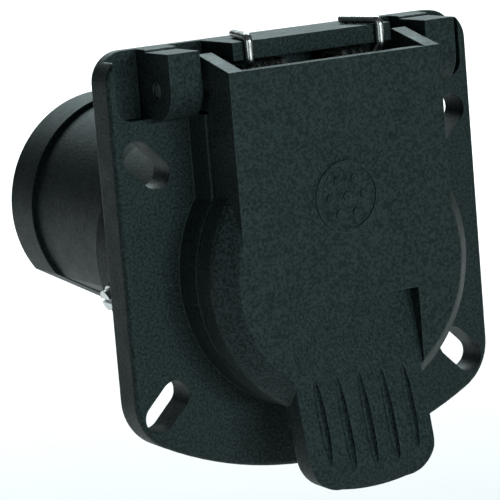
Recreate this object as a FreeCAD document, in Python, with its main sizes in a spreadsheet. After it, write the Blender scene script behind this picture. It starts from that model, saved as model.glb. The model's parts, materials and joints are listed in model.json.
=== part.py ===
import FreeCAD, Part
import math
import os
import Sketcher

# Seven-way trailer wiring socket, vehicle end.  Millimetres, +Z up.
# Origin: centre of the rear (mounting) face of the flange, on the axis of the socket mouth.
# The lid and the mouth face -Y, the barrel and the wires go toward +Y.

DIMENSIONS = {
    "flange_half_w": 38.0,
    "flange_top": 42.8,
    "flange_bottom": 38.1,
    "flange_t": 6.5,
    "flange_top_r": 5.6,
    "flange_side_r": 10.0,
    "flange_arc_r": 69.3,
    "flange_edge_r": 0.9,
    "slot_x": 31.75,
    "slot_z": 22.25,
    "slot_r": 2.9,
    "slot_travel": 4.9,
    "collar_r": 27.1,
    "collar_half_w": 22.5,
    "collar_top": 30.6,
    "collar_h": 6.5,
    "mouth_r": 22.6,
    "key_half_w": 3.2,
    "key_top": 24.6,
    "key_depth": 22.0,
    "barrel_r": 25.3,
    "barrel_len": 32.0,
    "seat_r": 22.35,
    "seat_start": 16.0,
    "shoulder_y": 30.0,
    "rear_r": 21.4,
    "rear_rise": 4.9,
    "rear_end": 67.0,
    "rear_bore_r": 18.6,
    "rear_flat": 20.3,
    "boss_in": 23.6,
    "boss_out": 29.9,
    "boss_top": 42.3,
    "pin_y": 9.7,
    "pin_z": 35.6,
    "pin_r": 1.5,
    "knuckle_r": 5.5,
    "recess_floor": 2.4,
    "recess_bottom": 30.9,
    "channel_out": 36.3,
    "channel_bottom": 30.4,
    "ledge_half_w": 16.5,
    "ledge_bottom": 39.5,
    "ledge_front": 14.5,
    "lid_gap": 0.3,
    "lid_front": 22.3,
    "lid_r": 27.05,
    "lid_panel_r": 23.2,
    "lid_rim_y": 18.0,
    "lid_half_w": 21.9,
    "lid_top": 38.4,
    "lid_wall": 2.8,
    "ear_in": 18.9,
    "ear_r": 4.4,
    "trough_bottom": 28.6,
    "gasket_r": 25.2,
    "gasket_in": 19.6,
    "gasket_t": 1.9,
    "tab_half_w": 13.3,
    "tab_z": 5.3,
    "tab_back_in": 18.6,
    "tab_tip_z": 40.0,
    "tab_front": 24.7,
    "flute_pitch": 4.65,
    "wire_r": 0.75,
    "coil_r": 2.75,
    "coil_outer_x": 13.7,
    "coil_inner_x": 6.3,
    "core_r": 18.6,
    "core_front": 7.0,
    "carrier_r": 22.2,
    "disc_front": 18.0,
    "contact_circle_r": 11.2,
    "contact_slot_w": 8.2,
    "contact_slot_t": 4.2,
    "post_r": 2.6,
    "post_end": 33.0,
    "cap_r": 22.4,
    "cap_end": 77.0,
    "hub_r": 9.5,
    "hub_end": 84.0,
    "inlet_r": 7.0,
    "grommet_hole_r": 4.6,
}

# One name per circuit, in the order the contacts sit around the core, with the clock angle
# in degrees counter-clockwise from +X as seen from the front.
CONTACT_ANGLES = {
    "contact_ground": 240,
    "contact_brake": 300,
    "contact_tail": 120,
    "contact_charge": 60,
    "contact_left_turn": 180,
    "contact_right_turn": 0,
}

document = FreeCAD.newDocument("trailer_socket")
sheet = document.addObject("Spreadsheet::Sheet", "dims")
for row, (alias, value) in enumerate(DIMENSIONS.items(), start=1):
    sheet.set("A%d" % row, alias)
    sheet.set("B%d" % row, str(value))
    sheet.setAlias("B%d" % row, alias)
document.recompute()

D = DIMENSIONS
X_AXIS = FreeCAD.Vector(1, 0, 0)
Y_AXIS = FreeCAD.Vector(0, 1, 0)
Z_AXIS = FreeCAD.Vector(0, 0, 1)
MOUTH_Y = D["flange_t"] + D["collar_h"]
LID_REAR_Y = MOUTH_Y + D["lid_gap"]
PANEL_BACK_Y = D["lid_front"] - D["lid_wall"]
OUTPUT = {}


# ---- helpers: sketches and features of a body ----

def new_body(name):
    body = document.addObject("PartDesign::Body", name)
    body.Label = name
    OUTPUT[name] = body
    return body


def origin_plane(body, role):
    return next(item for item in body.Origin.OriginFeatures if item.Role == role)


def new_sketch(body, name, role, offset="0"):
    sketch = body.newObject("Sketcher::SketchObject", name)
    sketch.AttachmentSupport = [(origin_plane(body, role), "")]
    sketch.MapMode = "FlatFace"
    sketch.setExpression("AttachmentOffset.Base.z", offset)
    return sketch


def front_sketch(body, name, depth="0"):
    """Sketch parallel to the flange; depth is measured from its rear face toward the lid."""
    return new_sketch(body, name, "XZ_Plane", depth)


def side_sketch(body, name, offset="0"):
    """Sketch in (y, z), offset along +X."""
    return new_sketch(body, name, "YZ_Plane", offset)


def add_circle(sketch, u, v, radius):
    """Circle whose radius follows the sheet; radius is an expression over the sheet."""
    index = sketch.addGeometry(Part.Circle(FreeCAD.Vector(u, v, 0), Z_AXIS, 1.0), False)
    constraint = sketch.addConstraint(Sketcher.Constraint("Radius", index, 1.0))
    sketch.setExpression("Constraints[%d]" % constraint, radius)
    if u == 0 and v == 0:
        sketch.addConstraint(Sketcher.Constraint("Coincident", index, 3, -1, 1))
    return index


def add_arc(sketch, u, v, radius, start, end):
    circle = Part.Circle(FreeCAD.Vector(u, v, 0), Z_AXIS, radius)
    return sketch.addGeometry(Part.ArcOfCircle(circle, start, end), False)


def add_line(sketch, start, end):
    first = FreeCAD.Vector(start[0], start[1], 0)
    second = FreeCAD.Vector(end[0], end[1], 0)
    return sketch.addGeometry(Part.LineSegment(first, second), False)


def add_polygon(sketch, points):
    first = None
    for index, point in enumerate(points):
        line = add_line(sketch, point, points[(index + 1) % len(points)])
        if first is None:
            first = line
        else:
            sketch.addConstraint(Sketcher.Constraint("Coincident", line - 1, 2, line, 1))
    sketch.addConstraint(Sketcher.Constraint("Coincident", first + len(points) - 1, 2, first, 1))


def add_rectangle(sketch, left, bottom, right, top):
    add_polygon(sketch, [(left, bottom), (right, bottom), (right, top), (left, top)])


def pad(body, sketch, length, backward=False, both=False):
    feature = body.newObject("PartDesign::Pad", sketch.Name + "_pad")
    feature.Profile = sketch
    feature.setExpression("Length", length)
    feature.Reversed = backward
    feature.Midplane = both
    return feature


def pocket(body, sketch, length, forward=False, both=False):
    """A pocket cuts toward the back (+Y) of a front sketch unless forward is set."""
    feature = body.newObject("PartDesign::Pocket", sketch.Name + "_cut")
    feature.Profile = sketch
    feature.setExpression("Length", length)
    feature.Reversed = forward
    feature.Midplane = both
    return feature


def revolve(body, sketch, kind="PartDesign::Revolution", axis="H_Axis"):
    feature = body.newObject(kind, sketch.Name + "_turn")
    feature.Profile = sketch
    feature.ReferenceAxis = (sketch, [axis])
    feature.Angle = 360
    return feature


def edges_at(feature, test):
    """Names of the edges of a feature whose every vertex passes the test."""
    names = []
    for index, edge in enumerate(feature.Shape.Edges, start=1):
        if all(test(vertex.Point) for vertex in edge.Vertexes):
            names.append("Edge%d" % index)
    return names


def round_edges(body, base, names, radius):
    feature = body.newObject("PartDesign::Fillet", base.Name + "_round")
    feature.Base = (base, names)
    feature.setExpression("Radius", radius)
    return feature


# ---- helpers: Part primitives ----

def cylinder(name, radius, height, base, direction):
    item = document.addObject("Part::Cylinder", name)
    item.setExpression("Radius", radius)
    item.setExpression("Height", height)
    item.Placement = FreeCAD.Placement(base, FreeCAD.Rotation(Z_AXIS, direction))
    return item


def block(name, size, corner):
    item = document.addObject("Part::Box", name)
    item.Length, item.Width, item.Height = size
    item.Placement.Base = corner
    return item


def fuse(name, items):
    item = document.addObject("Part::MultiFuse", name)
    item.Shapes = items
    return item


def cut(name, base, tools):
    tool = tools[0] if len(tools) == 1 else fuse(name + "_tools", tools)
    item = document.addObject("Part::Cut", name)
    item.Base = base
    item.Tool = tool
    return item


# ---- outlines ----

def flange_outline(sketch):
    half = D["flange_half_w"]
    top = D["flange_top"]
    top_r = D["flange_top_r"]
    side_r = D["flange_side_r"]
    arc_r = D["flange_arc_r"]
    arc_z = arc_r - D["flange_bottom"]
    side_x = half - side_r
    side_z = arc_z - math.sqrt((arc_r - side_r) ** 2 - side_x ** 2)
    meet = math.atan2(side_z - arc_z, side_x)
    add_line(sketch, (top_r - half, top), (half - top_r, top))
    add_arc(sketch, half - top_r, top - top_r, top_r, 0, math.pi / 2)
    add_line(sketch, (half, top - top_r), (half, side_z))
    add_arc(sketch, side_x, side_z, side_r, meet, 0)
    add_arc(sketch, 0, arc_z, arc_r, -math.pi - meet, meet)
    add_arc(sketch, -side_x, side_z, side_r, math.pi, math.pi * 2 - math.pi - meet)
    add_line(sketch, (-half, side_z), (-half, top - top_r))
    add_arc(sketch, top_r - half, top - top_r, top_r, math.pi / 2, math.pi)


def tombstone_outline(sketch, radius, half, top):
    """A disc with straight sides above it, as the collar has."""
    meet_z = math.sqrt(radius ** 2 - half ** 2)
    meet = math.atan2(meet_z, half)
    add_arc(sketch, 0, 0, radius, math.pi - meet, math.pi * 2 + meet)
    add_line(sketch, (half, meet_z), (half, top))
    add_line(sketch, (half, top), (-half, top))
    add_line(sketch, (-half, top), (-half, meet_z))


def flatted_outline(sketch, radius, flat):
    """Rear barrel section: a circle with two flats on the underside, at 240 and 300 degrees."""
    rise = D["rear_rise"]
    half = math.acos(flat / radius)
    corners = []
    for centre in (math.radians(240), math.radians(300)):
        for angle in (centre - half, centre + half):
            corners.append((radius * math.cos(angle), rise + radius * math.sin(angle)))
    add_line(sketch, corners[0], corners[1])
    add_arc(sketch, 0, rise, radius, math.radians(240) + half, math.radians(300) - half)
    add_line(sketch, corners[2], corners[3])
    add_arc(sketch, 0, rise, radius, math.radians(-60) + half, math.radians(240) - half)


def slot_outline(sketch, u, v, angle, radius, travel):
    """Slotted hole centred on (u, v), long axis at the given angle."""
    du = math.cos(angle) * travel / 2
    dv = math.sin(angle) * travel / 2
    nu = -math.sin(angle) * radius
    nv = math.cos(angle) * radius
    add_line(sketch, (u - du + nu, v - dv + nv), (u + du + nu, v + dv + nv))
    add_line(sketch, (u + du - nu, v + dv - nv), (u - du - nu, v - dv - nv))
    add_arc(sketch, u + du, v + dv, radius, angle - math.pi / 2, angle + math.pi / 2)
    add_arc(sketch, u - du, v - dv, radius, angle + math.pi / 2, angle + math.pi * 1.5)


# ---- housing: flange, collar, hinge bosses, spring ledge and barrel ----

housing = new_body("housing")
sketch = front_sketch(housing, "flange_outline")
flange_outline(sketch)
flange = pad(housing, sketch, "dims.flange_t")
document.recompute()
front_edges = edges_at(flange, lambda point: point.y < -D["flange_t"] + 0.01)
round_edges(housing, flange, front_edges, "dims.flange_edge_r")

sketch = front_sketch(housing, "hinge_recess", "dims.recess_floor")
add_rectangle(sketch, -D["boss_in"], D["recess_bottom"], D["boss_in"], D["flange_top"] + 5)
pocket(housing, sketch, "dims.flange_t - dims.recess_floor + 1", forward=True)

sketch = front_sketch(housing, "collar_outline", "dims.flange_t - 0.5")
tombstone_outline(sketch, D["collar_r"], D["collar_half_w"], D["collar_top"])
pad(housing, sketch, "dims.collar_h + 0.5")

sketch = front_sketch(housing, "ledge_outline", "dims.recess_floor - 0.5")
add_rectangle(sketch, -D["ledge_half_w"], D["ledge_bottom"], D["ledge_half_w"], D["flange_top"])
pad(housing, sketch, "dims.ledge_front - dims.recess_floor + 0.5")

for side, offset in (("right", "dims.boss_in"), ("left", "-dims.boss_out")):
    sketch = side_sketch(housing, side + "_boss_outline", offset)
    front = -D["pin_y"] - D["knuckle_r"]
    bottom = D["pin_z"] - D["knuckle_r"]
    add_line(sketch, (-1, D["boss_top"]), (front, D["boss_top"]))
    add_line(sketch, (front, D["boss_top"]), (front, D["pin_z"]))
    add_arc(sketch, -D["pin_y"], D["pin_z"], D["knuckle_r"], math.pi, math.pi * 1.5)
    add_line(sketch, (-D["pin_y"], bottom), (-1, bottom))
    add_line(sketch, (-1, bottom), (-1, D["boss_top"]))
    pad(housing, sketch, "dims.boss_out - dims.boss_in")

for side in (-1, 1):
    name = "right" if side > 0 else "left"
    sketch = front_sketch(housing, name + "_channel", "dims.recess_floor")
    inner = side * D["boss_out"]
    outer = side * D["channel_out"]
    bottom = D["channel_bottom"]
    corner = 2.6
    start, end = (-math.pi / 2, 0) if side > 0 else (math.pi, math.pi * 1.5)
    add_arc(sketch, outer - side * corner, bottom + corner, corner, start, end)
    add_line(sketch, (outer, bottom + corner), (outer, D["flange_top"] + 5))
    add_line(sketch, (outer, D["flange_top"] + 5), (inner, D["flange_top"] + 5))
    add_line(sketch, (inner, D["flange_top"] + 5), (inner, bottom))
    add_line(sketch, (inner, bottom), (outer - side * corner, bottom))
    pocket(housing, sketch, "dims.flange_t - dims.recess_floor + 1", forward=True)

sketch = side_sketch(housing, "pin_hole")
add_circle(sketch, -D["pin_y"], D["pin_z"], "dims.pin_r")
pocket(housing, sketch, "2 * dims.flange_half_w", both=True)

sketch = front_sketch(housing, "front_barrel")
add_circle(sketch, 0, 0, "dims.barrel_r")
pad(housing, sketch, "dims.barrel_len", backward=True)

sketch = front_sketch(housing, "rear_barrel", "-dims.shoulder_y")
flatted_outline(sketch, D["rear_r"], D["rear_flat"] - 0.2)
pad(housing, sketch, "dims.rear_end - dims.shoulder_y", backward=True)

SCREW_Y = 27.4
SCREW_DROP = 16.0
SCREW_SEAT = 25.5
SCREW_INWARD = FreeCAD.Rotation(Y_AXIS, -SCREW_DROP).multVec(X_AXIS)


def screw_sketch(body, name, distance):
    """Sketch across the insert screw, at a distance from the barrel's axis; u runs along +Y."""
    turn = FreeCAD.Rotation(X_AXIS, -SCREW_DROP)
    base = turn.multVec(FreeCAD.Vector(0, 0, -distance))
    sketch = new_sketch(body, name, "YZ_Plane", str(base.z))
    sketch.AttachmentOffset = FreeCAD.Placement(base, turn)
    return sketch


sketch = screw_sketch(housing, "screw_seat", SCREW_SEAT)
add_circle(sketch, SCREW_Y, 0, "2.7")
pad(housing, sketch, "3")

sketch = front_sketch(housing, "mouth_bore", "dims.flange_t + dims.collar_h")
add_circle(sketch, 0, 0, "dims.mouth_r")
pocket(housing, sketch, "dims.flange_t + dims.collar_h + dims.seat_start")

sketch = front_sketch(housing, "seat_bore", "-dims.seat_start + 1")
add_circle(sketch, 0, 0, "dims.seat_r")
pocket(housing, sketch, "dims.shoulder_y - dims.seat_start + 1")

sketch = front_sketch(housing, "rear_bore", "-dims.shoulder_y + 1")
add_circle(sketch, 0, D["rear_rise"], "dims.rear_bore_r")
pocket(housing, sketch, "dims.rear_end - dims.shoulder_y + 2")

sketch = front_sketch(housing, "key_slot", "dims.flange_t + dims.collar_h")
add_rectangle(sketch, -D["key_half_w"], D["mouth_r"] - 4, D["key_half_w"], D["key_top"])
pocket(housing, sketch, "dims.key_depth")

sketch = front_sketch(housing, "mounting_slots", "dims.flange_t + 1")
for side in (-1, 1):
    for level in (-1, 1):
        slot_outline(sketch, side * D["slot_x"], level * D["slot_z"],
                     math.pi / 4 * side * level, D["slot_r"], D["slot_travel"])
pocket(housing, sketch, "dims.flange_t + 2")

POST_X = 15.7
sketch = front_sketch(housing, "cap_posts", "-46")
for side in (-1, 1):
    add_circle(sketch, side * POST_X, D["rear_rise"], "3.2")
pad(housing, sketch, "dims.rear_end - 46", backward=True)
sketch = front_sketch(housing, "cap_pilot_holes", "-52")
for side in (-1, 1):
    add_circle(sketch, side * POST_X, D["rear_rise"], "1.4")
pocket(housing, sketch, "dims.rear_end - 52")

sketch = screw_sketch(housing, "insert_screw_hole", 18)
add_circle(sketch, SCREW_Y, 0, "1.25")
pocket(housing, sketch, "10")

# ---- lid: domed disc and straight-sided box in one moulding, with ears and a finger tab ----

lid = new_body("lid")
sketch = side_sketch(lid, "lid_disc")
add_polygon(sketch, [
    (-LID_REAR_Y, 0),
    (-LID_REAR_Y, D["lid_r"]),
    (-D["lid_rim_y"], D["lid_r"]),
    (-D["lid_rim_y"] - 1.0, D["lid_r"] - 0.45),
    (-D["lid_front"] + 0.35, D["lid_panel_r"] + 0.55),
    (-D["lid_front"], D["lid_panel_r"]),
    (-D["lid_front"], 0),
])
revolve(lid, sketch)

sketch = front_sketch(lid, "lid_box", "dims.flange_t + dims.collar_h + dims.lid_gap")
add_rectangle(sketch, -D["lid_half_w"], 0, D["lid_half_w"], D["lid_top"])
pad(lid, sketch, "dims.lid_front - dims.flange_t - dims.collar_h - dims.lid_gap")

for side, offset in (("right", "dims.ear_in"), ("left", "-dims.lid_half_w")):
    sketch = side_sketch(lid, side + "_ear", offset)
    add_polygon(sketch, [
        (-D["pin_y"], D["pin_z"] - D["ear_r"]),
        (-D["pin_y"], D["pin_z"]),
        (-7.55, 39.4),
        (-10.9, 41.2),
        (-D["lid_front"], D["lid_top"]),
        (-D["lid_front"], D["pin_z"] - D["ear_r"]),
    ])
    pad(lid, sketch, "dims.lid_half_w - dims.ear_in")
    sketch = side_sketch(lid, side + "_knuckle", offset)
    add_circle(sketch, -D["pin_y"], D["pin_z"], "dims.ear_r")
    pad(lid, sketch, "dims.lid_half_w - dims.ear_in")

GASKET_BACK_Y = LID_REAR_Y + D["gasket_t"]
sketch = side_sketch(lid, "lid_hollow")
add_polygon(sketch, [
    (-LID_REAR_Y + 1, 0),
    (-LID_REAR_Y + 1, D["gasket_r"] + 0.1),
    (-GASKET_BACK_Y, D["gasket_r"] + 0.1),
    (-GASKET_BACK_Y, D["gasket_in"] + 1.2),
    (-PANEL_BACK_Y, D["gasket_in"] + 1.2),
    (-PANEL_BACK_Y, 0),
])
revolve(lid, sketch, "PartDesign::Groove")

sketch = front_sketch(lid, "spring_trough", "dims.flange_t + 1")
add_rectangle(sketch, -D["ear_in"], D["trough_bottom"], D["ear_in"], D["flange_top"] + 5)
pocket(lid, sketch, "dims.lid_front - dims.lid_wall - dims.flange_t - 1", forward=True)

sketch = side_sketch(lid, "tab_backing")
add_polygon(sketch, [(-20.4, -2.4), (-15.9, -2.4), (-15.9, -5.3), (-18.7, -18.8), (-20.4, -18.8)])
pad(lid, sketch, "31.2", both=True)

TAB_CORNER = 6.4
TAB_EDGE_Z = -D["tab_tip_z"] + 0.7
sketch = front_sketch(lid, "tab_outline", "17.5")
half = D["tab_half_w"]
tip = (half - TAB_CORNER, TAB_EDGE_Z)
side_end = TAB_EDGE_Z + TAB_CORNER
bow_r = (tip[0] ** 2 + 0.7 ** 2) / (2 * 0.7)
bow = math.asin(tip[0] / bow_r)
add_line(sketch, (-half, -D["tab_z"]), (half, -D["tab_z"]))
add_line(sketch, (half, -D["tab_z"]), (half, side_end))
add_arc(sketch, tip[0], side_end, TAB_CORNER, -math.pi / 2, 0)
add_arc(sketch, 0, TAB_EDGE_Z - 0.7 + bow_r, bow_r, -math.pi / 2 - bow, -math.pi / 2 + bow)
add_arc(sketch, -tip[0], side_end, TAB_CORNER, math.pi, math.pi * 1.5)
add_line(sketch, (-half, side_end), (-half, -D["tab_z"]))
pad(lid, sketch, "8")

RAMP_TOP = (-D["tab_back_in"], -D["tab_z"])
RAMP_LOW = (-23.9, -31.0)
sketch = side_sketch(lid, "tab_ramp")
add_polygon(sketch, [
    RAMP_TOP,
    RAMP_LOW,
    (-D["tab_front"], -35.0),
    (-D["tab_front"] + 0.2, -38.6),
    (-D["tab_front"] + 0.9, -40.5),
    (-32, -40.5),
    (-32, -D["tab_z"]),
])
pocket(lid, sketch, "27.4", both=True)

sketch = side_sketch(lid, "tab_back")
add_polygon(sketch, [
    (-16.5, -27.4),
    (-18.4, -27.4),
    (-19.6, -33.0),
    (-20.3, -38.6),
    (-21.2, -41.0),
    (-16.5, -41.0),
])
pocket(lid, sketch, "30", both=True)

ramp_lean = math.degrees(math.atan2(RAMP_TOP[0] - RAMP_LOW[0], RAMP_TOP[1] - RAMP_LOW[1]))
for index in range(-2, 3):
    flute = lid.newObject("PartDesign::SubtractiveEllipsoid", "flute_%d" % (index + 3))
    reach = 9.5 if index in (-1, 0, 1) else 7.9
    middle = -28.2 if index in (-1, 0, 1) else -26.6
    depth = RAMP_TOP[0] + (RAMP_LOW[0] - RAMP_TOP[0]) * (middle - RAMP_TOP[1]) / (RAMP_LOW[1] - RAMP_TOP[1])
    flute.Radius1 = reach
    flute.Radius2 = 0.95
    flute.Radius3 = 1.0
    flute.setExpression("Placement.Base.x", "%d * dims.flute_pitch + 0.25" % index)
    flute.Placement.Base = FreeCAD.Vector(index * D["flute_pitch"] + 0.25, depth, middle)
    flute.Placement.Rotation = FreeCAD.Rotation(X_AXIS, -ramp_lean) * FreeCAD.Rotation(Y_AXIS, -1.4)

sketch = front_sketch(lid, "pin_layout_mark", "dims.lid_front - 0.2")
MARK_Z = 13.5
add_circle(sketch, 0, MARK_Z, "6.6")
add_circle(sketch, 0, MARK_Z, "5.9")
add_circle(sketch, 0, MARK_Z, "0.8")
for step in range(6):
    angle = math.radians(60 * step)
    add_circle(sketch, 3.5 * math.cos(angle), MARK_Z + 3.5 * math.sin(angle), "0.8")
pad(lid, sketch, "0.65")

sketch = front_sketch(lid, "plug_catch", "10.3")
add_rectangle(sketch, -4, -19.0, 4, -17.0)
pad(lid, sketch, "dims.lid_front - dims.lid_wall - 10.3 + 0.5")

sketch = side_sketch(lid, "ear_holes")
add_circle(sketch, -D["pin_y"], D["pin_z"], "dims.pin_r + 0.08")
pocket(lid, sketch, "2 * dims.flange_half_w", both=True)

lid_gasket = new_body("lid_gasket")
sketch = side_sketch(lid_gasket, "gasket_section")
gasket_face = -MOUTH_Y - 0.1
add_polygon(sketch, [
    (gasket_face, D["gasket_in"] + 0.4),
    (gasket_face, D["gasket_r"] - 0.4),
    (gasket_face - 0.4, D["gasket_r"]),
    (-GASKET_BACK_Y, D["gasket_r"]),
    (-GASKET_BACK_Y, D["gasket_in"]),
    (gasket_face - 0.4, D["gasket_in"]),
])
revolve(lid_gasket, sketch)

# ---- hinge pin and spring ----

hinge_pin = new_body("hinge_pin")
sketch = side_sketch(hinge_pin, "pin_section", "-dims.boss_out + 0.2")
add_circle(sketch, -D["pin_y"], D["pin_z"], "dims.pin_r")
shaft = pad(hinge_pin, sketch, "2 * dims.boss_out - 0.4")
document.recompute()
pin_chamfer = hinge_pin.newObject("PartDesign::Chamfer", "pin_end_chamfer")
pin_chamfer.Base = (shaft, edges_at(shaft, lambda point: abs(point.x) > D["boss_out"] - 1))
pin_chamfer.Size = 0.3


def rounded_path(points, radius):
    """Wire through the points, each inner corner rounded to the bend radius."""
    points = [FreeCAD.Vector(*point) for point in points]
    edges = []
    start = points[0]
    for before, corner, after in zip(points, points[1:], points[2:]):
        back = (before - corner).normalize()
        ahead = (after - corner).normalize()
        half_angle = back.getAngle(ahead) / 2
        reach = radius / math.tan(half_angle)
        middle = (back + ahead).normalize() * (radius / math.sin(half_angle) - radius)
        arc_start = corner + back * reach
        arc_end = corner + ahead * reach
        edges.append(Part.makeLine(start, arc_start))
        edges.append(Part.Arc(arc_start, corner + middle, arc_end).toShape())
        start = arc_end
    edges.append(Part.makeLine(start, points[-1]))
    return Part.Wire(edges)


def wire_solid(spine, start, direction, helical=False):
    section = Part.Wire([Part.Circle(start, direction, D["wire_r"]).toShape()])
    return spine.makePipeShell([section], True, helical)


def spring_half():
    """One coil with its two legs, on the -X side."""
    outer = -D["coil_outer_x"]
    inner = -D["coil_inner_x"]
    turns = 4.75
    span = inner - outer
    helix = Part.makeHelix(span / turns, span, D["coil_r"])
    coil = wire_solid(helix, FreeCAD.Vector(D["coil_r"], 0, 0), Y_AXIS, helical=True)
    coil.Placement = FreeCAD.Placement(FreeCAD.Matrix(
        0, 0, 1, outer,
        -1, 0, 0, -D["pin_y"],
        0, -1, 0, D["pin_z"],
        0, 0, 0, 1,
    ))
    front_y = -D["pin_y"] - D["coil_r"]
    leg_y = -D["ledge_front"] - D["wire_r"] - 0.1
    top_z = D["flange_top"] + D["wire_r"] + 0.05
    fixed_leg = rounded_path([
        (outer, front_y, D["pin_z"] - 0.05),
        (outer, front_y, D["pin_z"] + 0.9),
        (outer, leg_y, D["pin_z"] + 3.6),
        (outer, leg_y, top_z),
        (outer + 2.3, -5.6, top_z),
    ], 0.95)
    coil_top = D["pin_z"] + D["coil_r"]
    rest_y = -PANEL_BACK_Y + D["wire_r"] + 0.15
    rest_z = D["trough_bottom"] + D["wire_r"] + 0.2
    moving_leg = rounded_path([
        (inner, -D["pin_y"] + 0.05, coil_top),
        (inner, -D["pin_y"] - 4.3, coil_top),
        (inner, rest_y, D["pin_z"] - 2.2),
        (inner, rest_y, rest_z),
        (0.05, rest_y, rest_z),
    ], 1.1)
    legs = [
        wire_solid(fixed_leg, FreeCAD.Vector(outer, front_y, D["pin_z"] - 0.05), Z_AXIS),
        wire_solid(moving_leg, FreeCAD.Vector(inner, -D["pin_y"] + 0.05, coil_top), -Y_AXIS),
    ]
    return coil.fuse(legs)


left_coil = spring_half()
right_coil = left_coil.mirror(FreeCAD.Vector(0, 0, 0), X_AXIS)
lid_spring = document.addObject("Part::Feature", "lid_spring")
lid_spring.Shape = left_coil.fuse(right_coil)
OUTPUT["lid_spring"] = lid_spring

# ---- contact carrier: disc against the shoulder, core standing in the mouth ----

carrier_turn = new_body("carrier_turn")
sketch = side_sketch(carrier_turn, "carrier_section")
add_polygon(sketch, [
    (-D["core_front"], 0),
    (-D["core_front"], D["core_r"] - 0.8),
    (-D["core_front"] + 0.8, D["core_r"]),
    (D["disc_front"], D["core_r"]),
    (D["disc_front"], D["carrier_r"]),
    (D["shoulder_y"], D["carrier_r"]),
    (D["shoulder_y"], 0),
])
revolve(carrier_turn, sketch)
del OUTPUT["carrier_turn"]

WEB_Y = 20.0
CONTACT_FRONT = -4.5
cavities = []
for name, angle in CONTACT_ANGLES.items():
    x = D["contact_circle_r"] * math.cos(math.radians(angle))
    z = D["contact_circle_r"] * math.sin(math.radians(angle))
    slot_size = (D["contact_slot_t"], WEB_Y + D["core_front"] + 1, D["contact_slot_w"])
    slot = block(name + "_slot", slot_size, FreeCAD.Vector())
    offset = FreeCAD.Vector(-D["contact_slot_t"] / 2, -D["core_front"] - 1, -D["contact_slot_w"] / 2)
    turn = FreeCAD.Rotation(Y_AXIS, -angle)
    slot.Placement = FreeCAD.Placement(FreeCAD.Vector(x, 0, z) + turn.multVec(offset), turn)
    hole = cylinder(name + "_post_hole", "dims.post_r", "dims.shoulder_y - %s + 2" % (WEB_Y - 1),
                    FreeCAD.Vector(x, WEB_Y - 1, z), Y_AXIS)
    cavities.extend([slot, hole])
centre_hole = cylinder("centre_hole", "3.1", "%s" % (WEB_Y + D["core_front"] + 1),
                       FreeCAD.Vector(0, -D["core_front"] - 1, 0), Y_AXIS)
centre_post_hole = cylinder("centre_post_hole", "dims.post_r", "dims.shoulder_y - %s + 2" % (WEB_Y - 1),
                            FreeCAD.Vector(0, WEB_Y - 1, 0), Y_AXIS)
carrier_screw_hole = cylinder("carrier_screw_hole", "1.25", "dims.carrier_r - 14",
                              Y_AXIS * SCREW_Y - SCREW_INWARD * (D["carrier_r"] + 1), SCREW_INWARD)
rim_key = block("rim_key", (6.0, 2.0, 2.4), FreeCAD.Vector(-3.0, D["disc_front"] - 1, D["core_r"] + 1.6))
carrier_cavities = cavities + [centre_hole, centre_post_hole, carrier_screw_hole, rim_key]
OUTPUT["contact_carrier"] = cut("contact_carrier", carrier_turn, carrier_cavities)

# ---- contacts: two spring leaves on a web, with a tapped post behind ----

LEAF_W = 7.4
LEAF_T = 0.8
for name, angle in CONTACT_ANGLES.items():
    length = WEB_Y - 1.2 - CONTACT_FRONT
    leaf_out = block(name + "_leaf_out", (LEAF_T, length, LEAF_W),
                     FreeCAD.Vector(1.2, CONTACT_FRONT, -LEAF_W / 2))
    leaf_in = block(name + "_leaf_in", (LEAF_T, length, LEAF_W),
                    FreeCAD.Vector(-1.2 - LEAF_T, CONTACT_FRONT, -LEAF_W / 2))
    web = block(name + "_web", (4.0, 1.2, LEAF_W), FreeCAD.Vector(-2.0, WEB_Y - 1.2, -LEAF_W / 2))
    post = cylinder(name + "_post", "dims.post_r", "dims.post_end - %s" % WEB_Y,
                    FreeCAD.Vector(0, WEB_Y, 0), Y_AXIS)
    tapping = cylinder(name + "_tapping", "1.25", "11",
                       FreeCAD.Vector(0, D["post_end"] - 10, 0), Y_AXIS)
    contact = cut(name, fuse(name + "_blank", [leaf_out, leaf_in, web, post]), [tapping])
    x = D["contact_circle_r"] * math.cos(math.radians(angle))
    z = D["contact_circle_r"] * math.sin(math.radians(angle))
    contact.Placement = FreeCAD.Placement(FreeCAD.Vector(x, 0, z), FreeCAD.Rotation(Y_AXIS, -angle))
    OUTPUT[name] = contact

sleeve = cylinder("sleeve", "2.9", "%s" % (WEB_Y - CONTACT_FRONT), FreeCAD.Vector(0, CONTACT_FRONT, 0), Y_AXIS)
sleeve_bore = cylinder("sleeve_bore", "2.1", "20", FreeCAD.Vector(0, CONTACT_FRONT - 1, 0), Y_AXIS)
sleeve_post = cylinder("sleeve_post", "dims.post_r", "dims.post_end - %s" % WEB_Y,
                       FreeCAD.Vector(0, WEB_Y, 0), Y_AXIS)
sleeve_tapping = cylinder("sleeve_tapping", "1.25", "11", FreeCAD.Vector(0, D["post_end"] - 10, 0), Y_AXIS)
sleeve_slit = block("sleeve_slit", (0.7, 12.0, 7.0), FreeCAD.Vector(-0.35, CONTACT_FRONT - 1, -3.5))
OUTPUT["contact_reverse"] = cut("contact_reverse", fuse("sleeve_blank", [sleeve, sleeve_post]),
                                [sleeve_bore, sleeve_tapping, sleeve_slit])


# ---- screws and washers: identical ones share a node ----

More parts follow.
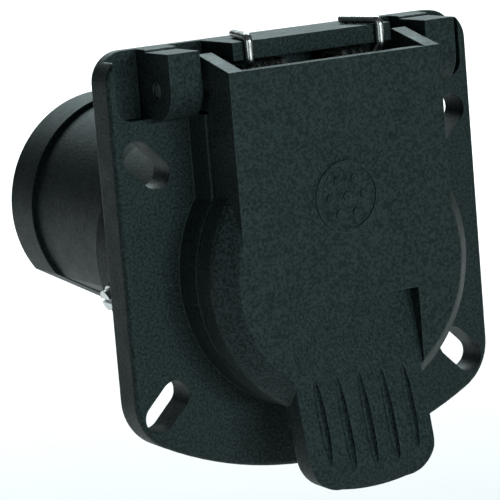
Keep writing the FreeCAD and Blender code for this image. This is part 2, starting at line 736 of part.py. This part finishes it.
def pan_screw(name, base, direction, head_r, head_h, shank_r, shank_len):
    """Slotted pan head above the base point, shank below it."""
    head = cylinder(name + "_head", str(head_r), str(head_h), FreeCAD.Vector(), Z_AXIS)
    shank = cylinder(name + "_shank", str(shank_r), str(shank_len), FreeCAD.Vector(0, 0, -shank_len), Z_AXIS)
    slot = block(name + "_slot", (0.8, 2.4 * head_r, head_h), FreeCAD.Vector(-0.4, -1.2 * head_r, head_h * 0.55))
    screw = cut(name, fuse(name + "_blank", [head, shank]), [slot])
    screw.Placement = FreeCAD.Placement(base, FreeCAD.Rotation(Z_AXIS, direction))
    return screw


def ring(name, base, direction, outer_r, inner_r, thickness):
    body = cylinder(name + "_disc", str(outer_r), str(thickness), FreeCAD.Vector(), Z_AXIS)
    hole = cylinder(name + "_hole", str(inner_r), str(thickness + 2), FreeCAD.Vector(0, 0, -1), Z_AXIS)
    washer = cut(name, body, [hole])
    washer.Placement = FreeCAD.Placement(base, FreeCAD.Rotation(Z_AXIS, direction))
    return washer


def group(name, items):
    item = document.addObject("Part::Compound", name)
    item.Links = items
    OUTPUT[name] = item


WASHER_T = 0.8
terminal_spots = [(0.0, 0.0)]
for angle in CONTACT_ANGLES.values():
    terminal_spots.append((
        D["contact_circle_r"] * math.cos(math.radians(angle)),
        D["contact_circle_r"] * math.sin(math.radians(angle)),
    ))
screws = []
washers = []
for index, (x, z) in enumerate(terminal_spots, start=1):
    seat = FreeCAD.Vector(x, D["post_end"], z)
    washers.append(ring("terminal_washer_%d" % index, seat, Y_AXIS, 2.7, 1.3, WASHER_T))
    screws.append(pan_screw("terminal_screw_%d" % index, seat + Y_AXIS * WASHER_T, Y_AXIS,
                            2.5, 2.0, 1.25, 9.0))
group("terminal_washers", washers)
group("terminal_screws", screws)

insert_seat = Y_AXIS * SCREW_Y - SCREW_INWARD * SCREW_SEAT
insert_head = insert_seat - SCREW_INWARD * 0.4
OUTPUT["insert_washer"] = ring("insert_washer", insert_seat, -SCREW_INWARD, 2.5, 1.3, 0.4)
OUTPUT["insert_screw"] = pan_screw("insert_screw", insert_head, -SCREW_INWARD, 2.0, 1.4, 1.2, 9.0)

# ---- rear cap, its screws and the cable grommet ----

rear_cap = new_body("rear_cap")
sketch = front_sketch(rear_cap, "cap_band", "-dims.rear_end")
flatted_outline(sketch, D["cap_r"], D["rear_flat"])
pad(rear_cap, sketch, "dims.cap_end - dims.rear_end", backward=True)
sketch = front_sketch(rear_cap, "cap_hollow", "-dims.rear_end + 1")
add_circle(sketch, 0, D["rear_rise"], "dims.rear_bore_r")
pocket(rear_cap, sketch, "dims.cap_end - dims.rear_end - 2.6 + 1")
sketch = front_sketch(rear_cap, "cap_bosses", "-dims.rear_end")
for side in (-1, 1):
    add_circle(sketch, side * POST_X, D["rear_rise"], "3.2")
pad(rear_cap, sketch, "dims.cap_end - dims.rear_end - 1", backward=True)
sketch = front_sketch(rear_cap, "cap_hub", "-dims.cap_end + 1")
add_circle(sketch, 0, D["rear_rise"], "dims.hub_r")
pad(rear_cap, sketch, "dims.hub_end - dims.cap_end + 1", backward=True)
sketch = front_sketch(rear_cap, "cable_inlet", "-dims.rear_end")
add_circle(sketch, 0, D["rear_rise"], "dims.inlet_r")
pocket(rear_cap, sketch, "dims.hub_end - dims.rear_end + 1")
sketch = front_sketch(rear_cap, "cap_screw_holes", "-dims.rear_end + 1")
for side in (-1, 1):
    add_circle(sketch, side * POST_X, D["rear_rise"], "1.6")
pocket(rear_cap, sketch, "dims.cap_end - dims.rear_end + 2")
CAP_SINK = 1.6
sketch = front_sketch(rear_cap, "cap_screw_sinks", "-dims.cap_end + %s" % CAP_SINK)
for side in (-1, 1):
    add_circle(sketch, side * POST_X, D["rear_rise"], "3.1")
pocket(rear_cap, sketch, "5")

cap_screws = []
for side, name in ((-1, "cap_screw_1"), (1, "cap_screw_2")):
    seat = FreeCAD.Vector(side * POST_X, D["cap_end"] - CAP_SINK, D["rear_rise"])
    cap_screws.append(pan_screw(name, seat, Y_AXIS, 2.8, 1.9, 1.4, 20.0))
group("cap_screws", cap_screws)

cable_grommet = new_body("cable_grommet")
sketch = side_sketch(cable_grommet, "grommet_section")
inner = D["rear_rise"] + D["grommet_hole_r"]
outer = D["rear_rise"] + D["inlet_r"]
hub_end = D["hub_end"]
plate = D["cap_end"] - 2.6
add_polygon(sketch, [
    (plate - 1.6, inner + 0.6),
    (plate - 1.6, outer + 0.6),
    (plate - 0.6, outer + 1.4),
    (plate, outer + 1.4),
    (plate, outer),
    (hub_end, outer),
    (hub_end, outer + 1.6),
    (hub_end + 0.8, outer + 1.6),
    (hub_end + 2.2, outer + 0.2),
    (hub_end + 2.2, inner + 0.6),
    (hub_end + 1.6, inner),
    (plate - 1.0, inner),
])
axis_line = add_line(sketch, (plate, D["rear_rise"]), (hub_end, D["rear_rise"]))
sketch.toggleConstruction(axis_line)
revolve(cable_grommet, sketch, axis="Axis0")

# ---- build, check and write ----

document.recompute()
for item in document.Objects:
    if "Invalid" in item.State or "Error" in item.State:
        raise RuntimeError("%s did not build" % item.Label)

os.makedirs("parts", exist_ok=True)
for name, item in OUTPUT.items():
    item.Label = name
    if item.Shape.isNull() or not item.Shape.isValid():
        raise RuntimeError("%s has no valid shape" % name)
    item.Shape.exportStep(os.path.join("parts", name + ".step"))
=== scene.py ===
import json
import math

import bpy
from mathutils import Matrix, Vector

# Seven-way trailer wiring socket.  Metres, same frame as the CAD:
# lid and mouth toward -Y, barrel and wires toward +Y, hinge at the top.

MM = 0.001

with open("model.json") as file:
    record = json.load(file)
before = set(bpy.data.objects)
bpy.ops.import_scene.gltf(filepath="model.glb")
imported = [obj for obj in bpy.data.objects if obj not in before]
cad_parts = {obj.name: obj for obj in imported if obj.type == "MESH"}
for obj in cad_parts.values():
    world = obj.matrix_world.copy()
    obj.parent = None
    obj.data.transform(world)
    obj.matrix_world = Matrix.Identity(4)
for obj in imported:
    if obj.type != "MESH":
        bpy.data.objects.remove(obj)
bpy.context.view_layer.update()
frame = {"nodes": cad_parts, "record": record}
NODES = frame["nodes"]


# ---------------------------------------------------------------- camera

CAMERA_AZIMUTH = math.radians(-28.2)
CAMERA_ELEVATION = math.radians(9.4)
CAMERA_ROLL = math.radians(4.84)
CAMERA_DISTANCE = 527 * MM
CAMERA_TARGET = Vector((-8.7, 0.0, 2.6)) * MM
CAMERA_LENS = 204.0
CAMERA_SENSOR = 36.0


def make_camera():
    """A long lens, to the left of the front and a little above, rolled as a hand-held shot is."""
    back = Vector((
        math.sin(CAMERA_AZIMUTH) * math.cos(CAMERA_ELEVATION),
        -math.cos(CAMERA_AZIMUTH) * math.cos(CAMERA_ELEVATION),
        math.sin(CAMERA_ELEVATION),
    ))
    right = (-back).cross(Vector((0, 0, 1))).normalized()
    up = right.cross(-back)
    rolled_right = math.cos(CAMERA_ROLL) * right - math.sin(CAMERA_ROLL) * up
    rolled_up = math.sin(CAMERA_ROLL) * right + math.cos(CAMERA_ROLL) * up
    data = bpy.data.cameras.new("camera")
    data.lens = CAMERA_LENS
    data.sensor_width = CAMERA_SENSOR
    data.clip_start = 0.05
    data.clip_end = 50.0
    camera = bpy.data.objects.new("camera", data)
    axes = Matrix((rolled_right, rolled_up, back)).transposed().to_4x4()
    camera.matrix_world = Matrix.Translation(CAMERA_TARGET + CAMERA_DISTANCE * back) @ axes
    bpy.context.scene.collection.objects.link(camera)
    bpy.context.scene.camera = camera


# ---------------------------------------------------------------- materials


class Surface:
    """One procedural material.  Its patterns are measured in millimetres of the object's own space."""

    def __init__(self, name):
        self.material = bpy.data.materials.new(name)
        self.material.use_nodes = True
        self.tree = self.material.node_tree
        self.tree.nodes.clear()
        self.shader = self.tree.nodes.new("ShaderNodeBsdfPrincipled")
        output = self.tree.nodes.new("ShaderNodeOutputMaterial")
        self.tree.links.new(self.shader.outputs["BSDF"], output.inputs["Surface"])
        coordinates = self.tree.nodes.new("ShaderNodeTexCoord")
        scale = self.tree.nodes.new("ShaderNodeVectorMath")
        scale.operation = "SCALE"
        scale.inputs["Scale"].default_value = 1 / MM
        self.tree.links.new(coordinates.outputs["Object"], scale.inputs[0])
        self.place = scale.outputs[0]

    def put(self, socket, value):
        """Sets a socket to a number or colour, or links it to another socket."""
        if isinstance(value, bpy.types.NodeSocket):
            self.tree.links.new(value, socket)
        else:
            socket.default_value = value

    def set(self, **values):
        """Sets the shader's own inputs, such as base_color or roughness."""
        for name, value in values.items():
            title = " ".join(word.capitalize() for word in name.split("_")).replace("Ior", "IOR")
            self.put(self.shader.inputs[title], value)

    def stretched(self, factors):
        """The place, stretched along each axis: a small factor draws the pattern out that way."""
        node = self.tree.nodes.new("ShaderNodeVectorMath")
        node.operation = "MULTIPLY"
        self.tree.links.new(self.place, node.inputs[0])
        node.inputs[1].default_value = factors
        return node.outputs[0]

    def noise(self, size, detail=2.0, roughness=0.5, place=None):
        node = self.tree.nodes.new("ShaderNodeTexNoise")
        self.tree.links.new(place or self.place, node.inputs["Vector"])
        node.inputs["Scale"].default_value = 1 / size
        node.inputs["Detail"].default_value = detail
        node.inputs["Roughness"].default_value = roughness
        return node.outputs["Fac"]

    def cells(self, size):
        """(distance to the cell's point, the cell's random number)."""
        node = self.tree.nodes.new("ShaderNodeTexVoronoi")
        self.tree.links.new(self.place, node.inputs["Vector"])
        node.inputs["Scale"].default_value = 1 / size
        split = self.tree.nodes.new("ShaderNodeSeparateColor")
        self.tree.links.new(node.outputs["Color"], split.inputs[0])
        return node.outputs["Distance"], split.outputs[0]

    def math(self, operation, first, second=0.0):
        node = self.tree.nodes.new("ShaderNodeMath")
        node.operation = operation
        self.put(node.inputs[0], first)
        self.put(node.inputs[1], second)
        return node.outputs[0]

    def span(self, value, low, high, to_low=0.0, to_high=1.0):
        """value between low and high becomes a number between to_low and to_high, and stops there."""
        node = self.tree.nodes.new("ShaderNodeMapRange")
        self.put(node.inputs["Value"], value)
        self.put(node.inputs["From Min"], low)
        self.put(node.inputs["From Max"], high)
        self.put(node.inputs["To Min"], to_low)
        self.put(node.inputs["To Max"], to_high)
        return node.outputs[0]

    def blend(self, share, first, second):
        node = self.tree.nodes.new("ShaderNodeMix")
        node.data_type = "RGBA"
        self.put(node.inputs[0], share)
        self.put(node.inputs[6], first)
        self.put(node.inputs[7], second)
        return node.outputs[2]

    def along(self, axis):
        """The object's own x, y or z, in millimetres."""
        node = self.tree.nodes.new("ShaderNodeSeparateXYZ")
        self.tree.links.new(self.place, node.inputs[0])
        return node.outputs[axis]

    def rounded(self, radius):
        """(a normal that turns smoothly over sharp edges, how near an edge a point is)."""
        bevel = self.tree.nodes.new("ShaderNodeBevel")
        bevel.samples = 6
        bevel.inputs["Radius"].default_value = radius * MM
        geometry = self.tree.nodes.new("ShaderNodeNewGeometry")
        product = self.tree.nodes.new("ShaderNodeVectorMath")
        product.operation = "DOT_PRODUCT"
        self.tree.links.new(bevel.outputs[0], product.inputs[0])
        self.tree.links.new(geometry.outputs["Normal"], product.inputs[1])
        return bevel.outputs[0], self.span(product.outputs["Value"], 0.99, 0.86)

    def bump(self, height, depth, normal=None, strength=1.0):
        """A normal bent by height, a number from 0 to 1, that stands depth millimetres tall."""
        node = self.tree.nodes.new("ShaderNodeBump")
        node.inputs["Distance"].default_value = depth * MM
        self.put(node.inputs["Strength"], strength)
        self.put(node.inputs["Height"], height)
        if normal is not None:
            self.tree.links.new(normal, node.inputs["Normal"])
        return node.outputs[0]


def colour(red, green, blue):
    return (red, green, blue, 1.0)


def nylon(name, tone, grain_depth, roughness, speck_share, smooth_behind=None):
    """Glass-filled black nylon: a spark-eroded grain, faint flow mottling, pale fibre specks, and rubbed
    edges whose lighter colour is partly wear and partly a painted edge highlight.

    Behind smooth_behind (a y in mm) the mould was polished, so the grain fades and the gloss rises."""
    surface = Surface(name)
    dark = colour(0.14 * tone, 0.22 * tone, 0.23 * tone)
    light = colour(1.50 * tone, 2.24 * tone, 2.28 * tone)
    mottle = surface.span(surface.noise(7.5, 4.0, 0.6), 0.32, 0.68)
    fine = surface.span(surface.noise(0.50, 1.0, 0.5), 0.38, 0.62)
    base = surface.blend(surface.math("ADD", surface.math("MULTIPLY", mottle, 0.12),
                                      surface.math("MULTIPLY", fine, 0.82)), dark, light)

    distance, chance = surface.cells(0.85)
    chosen = surface.span(chance, 1 - speck_share, 1 - speck_share * 0.6)
    speck = surface.math("MULTIPLY", chosen, surface.span(distance, 0.34, 0.12))
    base = surface.blend(surface.math("MULTIPLY", speck, 0.30), base, colour(0.12, 0.15, 0.15))

    edge_normal, edge = surface.rounded(0.35)
    patchy = surface.span(surface.noise(2.2, 3.0, 0.6), 0.35, 0.7, 0.35, 1.0)
    wear_and_edge_highlight = surface.math("MULTIPLY", edge, patchy)
    # Painted edge highlight: near edges the colour is lightened toward a pale grey. This is partly rubbed
    # wear and partly stands in for light catching the edges.
    base = surface.blend(surface.math("MULTIPLY", wear_and_edge_highlight, 0.60), base, colour(0.090, 0.125, 0.126))
    surface.set(base_color=base)

    grain = surface.noise(0.44, 2.0, 0.55)
    pit_distance, _ = surface.cells(0.55)
    height = surface.math("ADD", surface.math("MULTIPLY", grain, 0.7),
                          surface.math("MULTIPLY", pit_distance, 0.45))
    rough = surface.span(surface.noise(3.6, 3.0, 0.6), 0.3, 0.7, roughness - 0.05, roughness + 0.06)
    rough = surface.math("SUBTRACT", rough, surface.math("MULTIPLY", wear_and_edge_highlight, 0.22))
    strength = 1.0
    if smooth_behind is not None:
        polished = surface.span(surface.along("Y"), smooth_behind, smooth_behind + 0.6)
        strength = surface.math("SUBTRACT", 1.0, surface.math("MULTIPLY", polished, 0.35))
        rough = surface.math("SUBTRACT", rough, surface.math("MULTIPLY", polished, 0.02))
    surface.set(roughness=rough)
    surface.set(normal=surface.bump(height, grain_depth, edge_normal, strength))
    surface.set(specular_ior_level=0.27, specular_tint=colour(0.72, 1.0, 1.0))
    return surface.material


def rubber(name, tone, roughness):
    """Moulded rubber: matt, with a pale bloom in patches and a very fine grain."""
    surface = Surface(name)
    bloom = surface.span(surface.noise(3.0, 5.0, 0.65), 0.42, 0.72)
    surface.set(base_color=surface.blend(
        bloom, colour(tone, tone, tone * 1.03), colour(tone * 2.1, tone * 2.1, tone * 2.05)))
    surface.set(roughness=surface.span(surface.noise(1.4, 3.0), 0.3, 0.7, roughness - 0.06, roughness + 0.06))
    edge_normal, _ = surface.rounded(0.30)
    surface.set(normal=surface.bump(surface.noise(0.25, 4.0, 0.65), 0.030, edge_normal))
    surface.set(specular_ior_level=0.30, sheen_weight=0.06, sheen_roughness=0.6)
    return surface.material


def metal(name, clean, dull, roughness, grain, dull_share=0.5, depth=0.006):
    """Worked metal: fine lines drawn out along the axis whose grain factor is small, and dulled patches."""
    surface = Surface(name)
    patches = surface.span(surface.noise(1.9, 5.0, 0.62), 0.40, 0.72)
    lines = surface.noise(0.16, 3.0, 0.6, surface.stretched(grain))
    surface.set(base_color=surface.blend(surface.math("MULTIPLY", patches, dull_share), clean, dull))
    rough = surface.math("ADD", surface.span(lines, 0.3, 0.7, roughness - 0.06, roughness + 0.08),
                         surface.math("MULTIPLY", patches, 0.14))
    surface.set(roughness=rough, metallic=1.0)
    edge_normal, _ = surface.rounded(0.12)
    surface.set(normal=surface.bump(lines, depth, edge_normal))
    return surface.material


def dress():
    """Gives every CAD node the finish of its material slot."""
    finishes = {
        "housing_nylon": nylon("housing_nylon_look", 0.0150, 0.100, 0.54, 0.012, smooth_behind=0.4),
        "lid_nylon": nylon("lid_nylon_look", 0.0150, 0.110, 0.54, 0.014),
        "cap_nylon": nylon("cap_nylon_look", 0.0140, 0.060, 0.52, 0.012),
        "carrier_nylon": nylon("carrier_nylon_look", 0.0170, 0.030, 0.46, 0.010),
        "gasket_rubber": rubber("gasket_rubber_look", 0.016, 0.74),
        "grommet_rubber": rubber("grommet_rubber_look", 0.013, 0.66),
        "pin_steel": metal("pin_steel_look", colour(0.58, 0.60, 0.60), colour(0.32, 0.33, 0.33),
                           0.30, (0.04, 1.0, 1.0)),
        "spring_steel": metal("spring_steel_look", colour(0.86, 0.87, 0.86), colour(0.60, 0.60, 0.58),
                              0.22, (0.3, 0.3, 0.3), 0.4),
        "contact_brass": metal("contact_brass_look", colour(0.83, 0.62, 0.28), colour(0.50, 0.34, 0.15),
                               0.28, (1.0, 0.05, 1.0)),
        "screw_brass": metal("screw_brass_look", colour(0.80, 0.58, 0.26), colour(0.46, 0.31, 0.14),
                             0.33, (1.0, 1.0, 0.3)),
        "screw_zinc": metal("screw_zinc_look", colour(0.80, 0.82, 0.83), colour(0.52, 0.54, 0.52),
                            0.30, (1.0, 0.25, 1.0)),
    }
    for part in frame["record"]["subparts"]:
        for slot in NODES[part["node"]].material_slots:
            slot.link = "OBJECT"
            slot.material = finishes[part["material_slot"]]


# ---------------------------------------------------------------- floor and lights


def make_floor():
    """A pale matt floor, well below the socket so that its shadow falls away from it."""
    surface = Surface("floor_look")
    grain = surface.span(surface.noise(60.0, 3.0, 0.5), 0.3, 0.7)
    surface.set(base_color=surface.blend(grain, colour(0.93, 0.87, 0.865), colour(0.95, 0.89, 0.885)))
    surface.set(roughness=0.9, specular_ior_level=0.1)
    mesh = bpy.data.meshes.new("floor")
    half = 6.0
    level = -0.16
    mesh.from_pydata([(-half, -half, level), (half, -half, level), (half, half, level), (-half, half, level)],
                     [], [(0, 1, 2, 3)])
    floor = bpy.data.objects.new("floor", mesh)
    floor.data.materials.append(surface.material)
    bpy.context.scene.collection.objects.link(floor)


def add_softbox(name, position, target, width, height, power, tint):
    data = bpy.data.lights.new(name, "AREA")
    data.shape = "RECTANGLE"
    data.size = width
    data.size_y = height
    data.energy = power
    data.color = tint
    light = bpy.data.objects.new(name, data)
    light.location = position
    aim = Vector(target) - Vector(position)
    light.rotation_mode = "QUATERNION"
    light.rotation_quaternion = aim.to_track_quat("-Z", "Y")
    bpy.context.scene.collection.objects.link(light)


def make_lights():
    """Two boxes overhead, behind the socket, a low strip in front, a dim side box and a faint room."""
    cool = (0.86, 1.0, 1.01)
    add_softbox("overhead_near", (0.75, 1.15, 1.40), (0.75, 1.15, 0.0), 1.0, 1.0, 38.0, cool)
    add_softbox("overhead_far", (1.00, 2.70, 1.50), (1.00, 2.70, 0.0), 3.0, 2.4, 46.0, cool)
    add_softbox("front_strip", (0.15, -1.33, 0.22), (0.0, 0.0, 0.0), 0.7, 0.14, 7.4, cool)
    add_softbox("side", (-1.25, -0.60, 0.10), (0.0, 0.0, 0.0), 0.3, 0.8, 1.3, cool)
    world = bpy.data.worlds.new("room")
    world.use_nodes = True
    background = world.node_tree.nodes["Background"]
    background.inputs["Color"].default_value = (0.94, 0.98, 1.0, 1.0)
    background.inputs["Strength"].default_value = 0.03
    bpy.context.scene.world = world
    bpy.context.scene.view_settings.view_transform = "Standard"


make_camera()
dress()
make_floor()
make_lights()
